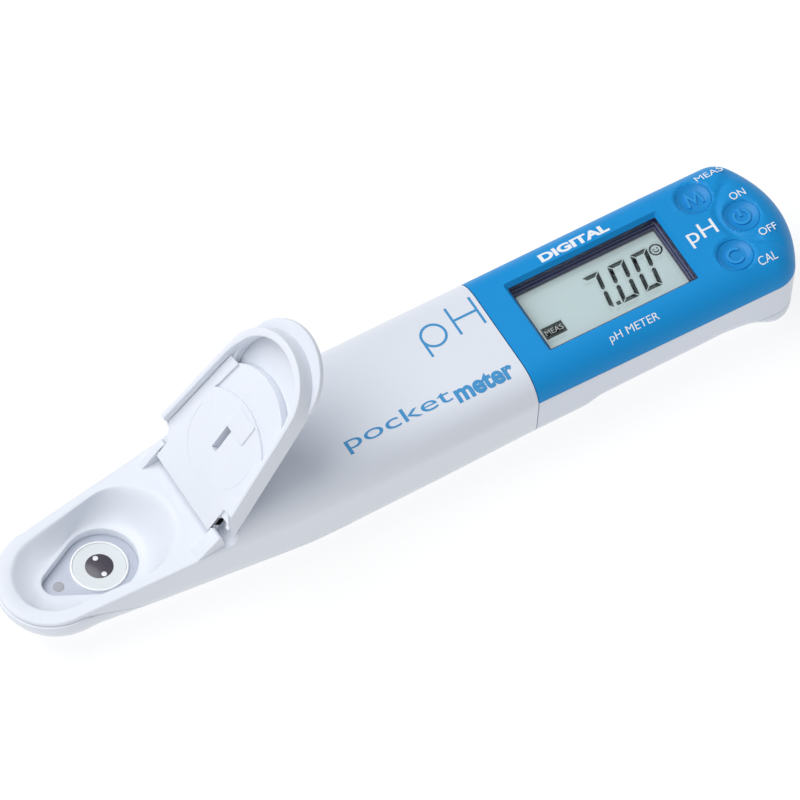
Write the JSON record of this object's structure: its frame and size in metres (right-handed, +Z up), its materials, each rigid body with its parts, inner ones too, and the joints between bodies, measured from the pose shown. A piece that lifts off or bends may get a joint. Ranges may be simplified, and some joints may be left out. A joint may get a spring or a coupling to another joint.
{
  "type": "digital ph meter",
  "caption": "Pocket pH meter with a flat sensor well under a hinged cover, a detachable sensor unit, a display and domed keys.",
  "frame": {"origin": "on the surface the meter rests on, below the middle of its length and width", "axes": "+X along the meter from the sensor tip to the key end, +Y across it, +Z up out of the display"},
  "size_m": [0.1634, 0.029, 0.0484],
  "materials": {
    "white_plastic": "satin moulded plastic",
    "grey_plastic": "satin moulded plastic",
    "blue_plastic": "satin moulded plastic",
    "dark_plastic": "dark moulded plastic",
    "sensor_plastic": "smooth plastic",
    "electrode_disc": "fine ceramic",
    "membrane_glass": "dark sensing glass",
    "clear_plastic": "translucent plastic",
    "window": "clear window",
    "lcd": "reflective liquid crystal display",
    "rubber": "soft rubber",
    "circuit_board": "glass fibre board",
    "steel": "stainless steel",
    "gold_contacts": "gold plated"
  },
  "bodies": {
    "meter": {"upper_case": "blue_plastic", "lower_case": "grey_plastic", "display_window": "window", "lcd_frame": "dark_plastic", "lcd_panel": "lcd", "lcd_connector_front": "rubber", "lcd_connector_back": "rubber", "main_board": "circuit_board", "processor_chip": "dark_plastic", "keypad_membrane": "rubber", "tact_switch_meas": "dark_plastic", "tact_switch_power": "dark_plastic", "tact_switch_cal": "dark_plastic", "coin_cell_front": "steel", "coin_cell_rear": "steel", "battery_contact_front": "gold_contacts", "battery_contact_rear": "gold_contacts", "battery_link": "gold_contacts", "board_screw_1": "steel", "board_screw_2": "steel", "case_seal": "rubber", "plug_housing": "white_plastic", "plug_gasket": "rubber", "contact_pin_1": "gold_contacts", "contact_pin_2": "gold_contacts", "contact_pin_3": "gold_contacts"},
    "battery_cover": {"battery_cover": "grey_plastic"},
    "key_meas": {"key_meas": "blue_plastic"},
    "key_power": {"key_power": "blue_plastic"},
    "key_cal": {"key_cal": "blue_plastic"},
    "sensor_unit": {"sensor_case": "white_plastic", "sensor_bottom_cover": "white_plastic", "sensor_plate": "sensor_plastic", "sensor_ring": "sensor_plastic", "electrode_disc": "electrode_disc", "glass_membrane": "membrane_glass", "liquid_junction": "electrode_disc", "reference_cell": "clear_plastic", "electrolyte_gel": "clear_plastic", "reference_cell_cap": "clear_plastic", "sensor_flex": "circuit_board", "sensor_contact_board": "circuit_board", "hinge_pin": "steel"},
    "release_tab": {"sensor_release_tab": "white_plastic"},
    "cover": {"cover_frame": "white_plastic", "cover_guide_plate": "white_plastic"},
    "slide_cap": {"slide_cap": "white_plastic"}
  },
  "joints": [
    {"name": "sensor_slide", "type": "slide", "parent": "meter", "child": "sensor_unit", "axis": [-1, 0, 0], "range_m": [0, 0.03]},
    {"name": "cover_hinge", "type": "hinge", "parent": "sensor_unit", "child": "cover", "pos_m": [-0.0431, 0, 0.0171], "axis": [0, 1, 0], "range_deg": [-135.2, 0]},
    {"name": "slide_cap_slide", "type": "slide", "parent": "cover", "child": "slide_cap", "axis": [-0.6184, 0, -0.7859], "range_m": [0, 0.007]},
    {"name": "release_tab_flex", "type": "hinge", "parent": "sensor_unit", "child": "release_tab", "pos_m": [0.0238, 0, 0.0018], "axis": [0, 1, 0], "range_deg": [0, 5], "stiffness_Nm_per_rad": 0.02},
    {"name": "battery_cover_slide", "type": "slide", "parent": "meter", "child": "battery_cover", "axis": [1, 0, 0], "range_m": [0, 0.048]},
    {"name": "key_meas_press", "type": "slide", "parent": "meter", "child": "key_meas", "axis": [0, 0, -1], "range_m": [0, 0.0005], "stiffness_N_per_m": 400, "springref_m": -0.0002},
    {"name": "key_power_press", "type": "slide", "parent": "meter", "child": "key_power", "axis": [0, 0, -1], "range_m": [0, 0.0005], "stiffness_N_per_m": 400, "springref_m": -0.0002},
    {"name": "key_cal_press", "type": "slide", "parent": "meter", "child": "key_cal", "axis": [0, 0, -1], "range_m": [0, 0.0005], "stiffness_N_per_m": 400, "springref_m": -0.0002}
  ]
}
